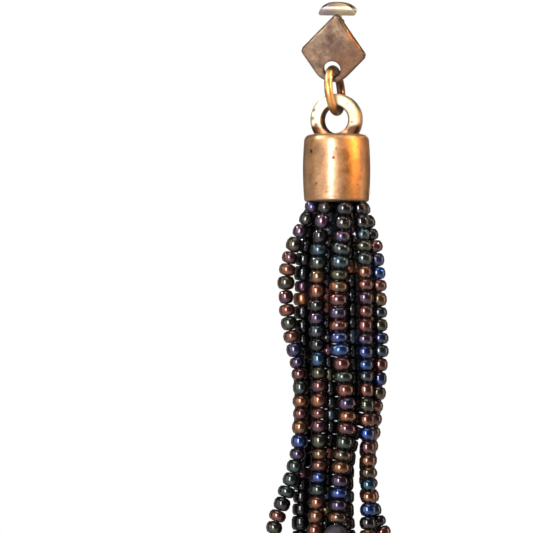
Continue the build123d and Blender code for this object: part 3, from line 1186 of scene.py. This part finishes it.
    def route(self, name: str) -> list[Vector]:
        """Works out a strand's route points.

        Args:
            name: The strand's name.

        Returns:
            The points, in metres.
        """
        rows = self.routes[name]
        drops = [level * self.length for level in self.levels[: len(rows) - 1]]
        drops.append(self.length - self.shorter_by[name])
        across = Vector((math.cos(self.turn), math.sin(self.turn), 0))
        back = Vector((-math.sin(self.turn), math.cos(self.turn), 0))
        down = Vector((0, 0, -1))
        return [
            self.head() + (across * side + back * depth + down * drop) * MM
            for (side, depth), drop in zip(rows, drops)
        ]

    def spline(self, points: list[Vector], name: str, resolution: int) -> bpy.types.Object:
        """Draws the smooth curve that the points control.

        Args:
            points: The control points.
            name: The curve's name.
            resolution: How many steps it takes between two control points.

        Returns:
            The curve.
        """
        curve = bpy.data.curves.new(name, "CURVE")
        curve.dimensions = "3D"
        curve.resolution_u = resolution
        line = curve.splines.new("NURBS")
        line.points.add(len(points) - 1)
        for knot, place in zip(line.points, points):
            knot.co = (*place, 1.0)
        line.order_u = 3
        line.use_endpoint_u = True
        drawn = bpy.data.objects.new(name, curve)
        bpy.context.scene.collection.objects.link(drawn)
        return drawn

    def walk(self, points: list[Vector]) -> list[Vector]:
        """Reads the smooth curve as closely spaced points.

        Args:
            points: The control points.

        Returns:
            Points along the curve, from head to end.
        """
        drawn = self.spline(points, "walk", self.walk_steps)
        mesh = bpy.data.meshes.new_from_object(drawn)
        path = [vertex.co.copy() for vertex in mesh.vertices]
        bpy.data.objects.remove(drawn)
        bpy.data.meshes.remove(mesh)
        return path

    @staticmethod
    def at(path: list[Vector], distance: float) -> tuple[Vector, Vector]:
        """Finds a place along a path.

        Args:
            path: Points along the path.
            distance: How far along it the place is.

        Returns:
            The place, and the path's direction there.
        """
        for start, end in zip(path, path[1:]):
            step = (end - start).length
            if distance <= step or end is path[-1]:
                direction = (end - start).normalized()
                return start + direction * distance, direction
            distance -= step
        return path[-1], (path[-1] - path[-2]).normalized()

    def seeds(
        self,
        path: list[Vector],
        bead: bpy.types.Object,
        radius: float,
        inner: bool,
        first: float,
        rng: random.Random,
    ) -> list[bpy.types.Object]:
        """Threads seed beads along a path, no two quite the same size or colour.

        Args:
            path: Points along the strand.
            bead: The seed bead to copy, modelled with a radius of 1 mm.
            radius: The strand's usual bead radius.
            inner: Whether the strand hangs behind others and takes the darker mix, which paints
                shade on it.
            first: The first bead's length as a share of the usual one.
            rng: The seeded random numbers.

        Returns:
            The beads.
        """
        total = sum((end - start).length for start, end in zip(path, path[1:]))
        count = round(total / self.pitch)
        shares = [rng.uniform(*self.length_share) for _ in range(count)]
        shares[0] *= first
        scale = total / sum(shares)
        lots = list(IrisLot)
        # Painted shade: inner strands take the mostly jet mix
        mix = [lot.inner_share if inner else lot.outer_share for lot in lots]
        narrowest, widest = self.width_limits
        beads = []
        travelled = 0.0
        last = None
        for number, share in enumerate(shares):
            room = share * scale
            place, direction = self.at(path, travelled + room / 2)
            travelled += room
            tilt = Vector((rng.gauss(0, self.lean), rng.gauss(0, self.lean), 0))
            lot = rng.choices(lots, mix)[0]
            if lot is last and not inner:
                lot = rng.choices(lots, mix)[0]
            # Painted shade: the first beads below the cap take dark lots
            shaded = number < self.shaded_beads
            if shaded:
                lot = rng.choice(self.shaded_lots)
            last = lot
            width = radius / MM * min(widest, max(narrowest, rng.gauss(*self.width_share)))
            if shaded:
                width *= self.crowded
            size = Matrix.Diagonal((width, width, room / self.pitch, 1.0))
            turned = aim(place, (direction + tilt).normalized(), rng.uniform(0, math.tau))
            copy = link_copy(bead, f"seed_{number:02d}", turned @ size)
            paint(copy, "film", lot.film + rng.uniform(-self.film_drift, self.film_drift))
            beads.append(copy)
        return beads

    def thread(
        self, points: list[Vector], end: Vector, direction: Vector, room: float
    ) -> bpy.types.Object:
        """Draws a strand's thread, down through its end bead and stop bead.

        Args:
            points: The strand's route points.
            end: Where its seed beads end.
            direction: Its direction there.
            room: The length that its end bead takes up.

        Returns:
            The thread.
        """
        reach = room + self.stop_length
        drawn = self.spline([*points, end + direction * reach], "thread", self.thread_steps)
        drawn.data.bevel_depth = self.thread_radius
        drawn.data.bevel_resolution = self.thread_roundness
        drawn.data.use_fill_caps = True
        choose(drawn)
        bpy.ops.object.convert(target="MESH")
        return bpy.context.object

    def build(self) -> list[bpy.types.Object]:
        """Builds every strand and end bead.

        Returns:
            The pieces.
        """
        seed_glass = IrisGlass().material()
        thread_finish = WaxedThread().material()
        end_glass = MattGlass().material()
        seed_bead = DrilledBead().model("seed_bead")
        inner_bead = DrilledBead(length=self.pitch, profile=self.inner_profile).model("inner_bead")
        stop_bead = DrilledBead(self.stop_radius, self.stop_length).model("stop_bead")
        round_bead = FacetedBead().model("round_bead")
        for model in (seed_bead, stop_bead):
            dress(model, seed_glass)
        dress(inner_bead, self.inner_glass.material())
        dress(round_bead, end_glass)
        rng = random.Random(self.seed)
        made = []
        for name in self.routes:
            points = self.route(name)
            path = self.walk(points)
            end, direction = path[-1], (points[-1] - points[-2]).normalized()
            sizes = self.sizes.get(name, BeadSizes())
            inner = name in self.inner
            bead = inner_bead if inner else seed_bead
            first = self.first_share if name in self.short_start else 1.0
            beads = self.seeds(path, bead, sizes.seed_radius, inner, first, rng)
            room = 2 * (sizes.end_radius + self.gap)
            stop_place = end + direction * (room + self.stop_length / 2)
            stop = link_copy(stop_bead, "stop", aim(stop_place, direction))
            drift = rng.uniform(-self.stop_drift, self.stop_drift)
            paint(stop, "film", IrisLot.PLUM.film + drift)
            line = self.thread(points, end, direction, room)
            dress(line, thread_finish)
            paint(line, "film", 0.0)
            strand = join([*beads, stop, line], f"beads_{name}")
            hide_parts(name)
            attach(strand, "drop")
            node = name.replace("strand", "end_bead")
            centre = end + direction * room / 2
            size = Matrix.Scale(sizes.end_radius / FacetedBead.radius, 4)
            turned = aim(centre, direction, rng.uniform(0, self.end_spin))
            ball = link_copy(round_bead, f"round_{node}", turned @ size)
            ball.data.name = ball.name
            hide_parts(node)
            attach(ball, "drop")
            made += [strand, ball]
            LOG.info("%s: %d seed beads", strand.name, len(beads))
        for model in (seed_bead, inner_bead, stop_bead, round_bead):
            bpy.data.objects.remove(model)
        return made


# Studio


@dataclass(frozen=True)
class SoftBox:
    """A rectangular light that faces the object."""

    name: str

    # Its azimuth and elevation from the object, in degrees
    bearing: tuple[float, float]
    distance: float
    size: tuple[float, float]

    # In watts
    power: float
    colour: str = "#ffffff"

    # The height that it is aimed at, or none for the middle of the frame
    height: float | None = None

    # How wide its beam opens, in degrees
    spread: float = 180.0


@dataclass
class Studio:
    """A plain pale floor, soft lights and the camera at the photograph's viewing angle."""

    # The camera's way and distance from its target
    azimuth: float = math.radians(7.0)
    elevation: float = math.radians(-2.0)
    distance: float = 1.2
    sensor_mm: float = 36.0

    # The photograph is 533 pixels wide, at 7 pixels to a millimetre
    frame_width: float = 533 / 7 * MM

    # The target, as its side and depth in the camera's directions, and its height
    across: float = -9.59 * MM
    depth: float = 1.3 * MM
    height: float = -32.3 * MM

    floor_size: float = 8.0
    floor_height: float = -0.3
    floor_colour: str = "#f4f4f4"
    floor_roughness: float = 0.9
    floor_glow: tuple[float, float, float, float] = (0.72, 0.72, 0.72, 1.0)
    background: str = "#ffffff"
    dim_light: str = "#f2f2f5"
    dimness: float = 0.1

    # Broad lights for the whole, and narrow dim beams that light single faces of the metal
    lights: tuple[SoftBox, ...] = (
        SoftBox("key_front_left", (-12.0, 8.0), 0.7, (0.16, 0.5), 6.4),
        SoftBox("fill_left", (-50.0, 12.0), 1.0, (0.8, 1.0), 4.6, "#fff4ec"),
        SoftBox("warm_metal", (72.0, 12.0), 0.4, (0.13, 0.02), 0.013, "#ffae3c", -10.0 * MM, 4.0),
        SoftBox("warm_plate", (84.0, 42.0), 0.4, (0.09, 0.06), 0.03, "#f8e0b0", 2.0 * MM, 4.0),
        SoftBox("edge_left", (-78.0, 46.0), 0.4, (0.09, 0.06), 0.03, "#f2e9d2", 2.0 * MM, 4.0),
        SoftBox("white_metal", (-13.0, 3.0), 0.4, (0.12, 0.03), 0.0045, "#ffffff", -18.0 * MM, 4.0),
        SoftBox("rim_left", (-112.0, 6.0), 0.7, (0.2, 0.6), 0.4, "#ffe8d4"),
        SoftBox("rim_right", (106.0, 6.0), 0.7, (0.2, 0.6), 1.2, "#ffe2c4"),
        SoftBox("top", (10.0, 75.0), 0.8, (0.5, 0.5), 1.8),
    )

    def direction(self, azimuth: float, elevation: float) -> Vector:
        """The way from the object towards something round it.

        Args:
            azimuth: Its turn to the right of the front, in radians.
            elevation: Its angle above the horizon, in radians.

        Returns:
            The unit vector.
        """
        flat = math.cos(elevation)
        return Vector(
            (math.sin(azimuth) * flat, -math.cos(azimuth) * flat, math.sin(elevation))
        )

    def target(self) -> Vector:
        """Finds the point at the middle of the camera's frame.

        Returns:
            The point.
        """
        right = Vector((math.cos(self.azimuth), math.sin(self.azimuth), 0))
        away = Vector((-math.sin(self.azimuth), math.cos(self.azimuth), 0))
        return right * self.across + away * self.depth + Vector((0, 0, self.height))

    def camera(self) -> None:
        """Adds the camera."""
        back = self.direction(self.azimuth, self.elevation)
        bpy.ops.object.camera_add(location=self.target() + back * self.distance)
        camera = bpy.context.object
        camera.rotation_mode = "QUATERNION"
        camera.rotation_quaternion = (-back).to_track_quat("-Z", "Y")
        camera.data.sensor_width = self.sensor_mm
        camera.data.lens = self.sensor_mm * self.distance / self.frame_width
        bpy.context.scene.camera = camera

    def light(self, box: SoftBox) -> None:
        """Adds one soft light.

        Args:
            box: The light.
        """
        azimuth, elevation = box.bearing
        way = self.direction(math.radians(azimuth), math.radians(elevation))
        middle = Vector((0, 0, self.height if box.height is None else box.height))
        bpy.ops.object.light_add(type="AREA", location=middle + way * box.distance)
        lamp = bpy.context.object
        lamp.name = box.name
        lamp.rotation_mode = "QUATERNION"
        lamp.rotation_quaternion = (-way).to_track_quat("-Z", "Y")
        lamp.data.shape = "RECTANGLE"
        lamp.data.size, lamp.data.size_y = box.size
        lamp.data.energy = box.power
        lamp.data.color = linear(box.colour)[:3]
        lamp.data.spread = math.radians(box.spread)

    def world(self) -> None:
        """Sets a white background that lights the object only dimly."""
        world = bpy.data.worlds.new("studio")
        world.use_nodes = True
        tree = world.node_tree
        tree.nodes.clear()
        seen = add_node(
            tree, "ShaderNodeBackground", {"Color": linear(self.background), "Strength": 1.0}
        )
        fill = add_node(
            tree,
            "ShaderNodeBackground",
            {"Color": linear(self.dim_light), "Strength": self.dimness},
        )
        ray = add_node(tree, "ShaderNodeLightPath")
        both = add_node(
            tree,
            "ShaderNodeMixShader",
            links={
                SHARE: ray.outputs["Is Camera Ray"],
                SHADER_A: fill.outputs["Background"],
                SHADER_B: seen.outputs["Background"],
            },
        )
        add_node(tree, "ShaderNodeOutputWorld", links={"Surface": both.outputs["Shader"]})
        bpy.context.scene.world = world
        bpy.context.scene.view_settings.view_transform = "Standard"

    def floor(self) -> None:
        """Adds the floor, with a glow that only the camera sees and that lights nothing."""
        deselect()
        bpy.ops.mesh.primitive_plane_add(
            size=self.floor_size, location=(0, 0, self.floor_height)
        )
        floor = bpy.context.object
        floor.name = "floor"
        material, tree, surface = new_material("white_paper_sweep")
        surface.inputs["Base Color"].default_value = linear(self.floor_colour)
        surface.inputs["Roughness"].default_value = self.floor_roughness
        surface.inputs["Emission Color"].default_value = self.floor_glow
        ray = add_node(tree, "ShaderNodeLightPath")
        tree.links.new(ray.outputs["Is Camera Ray"], surface.inputs["Emission Strength"])
        material.cycles.emission_sampling = "NONE"
        dress(floor, material)

    def build(self) -> None:
        """Adds the floor, the lights, the background and the camera."""
        self.floor()
        for box in self.lights:
            self.light(box)
        self.world()
        self.camera()


def main() -> None:
    """Builds the earring's looks and its studio, in order."""
    logging.basicConfig(level=logging.INFO, format="%(name)s: %(message)s")
    for node in MetalWork().build():
        LOG.info("%s: dressed", node.name)
    for piece in Fringe().build():
        LOG.info("%s: built", piece.name)
    Studio().build()


if __name__ == "__main__":
    main()
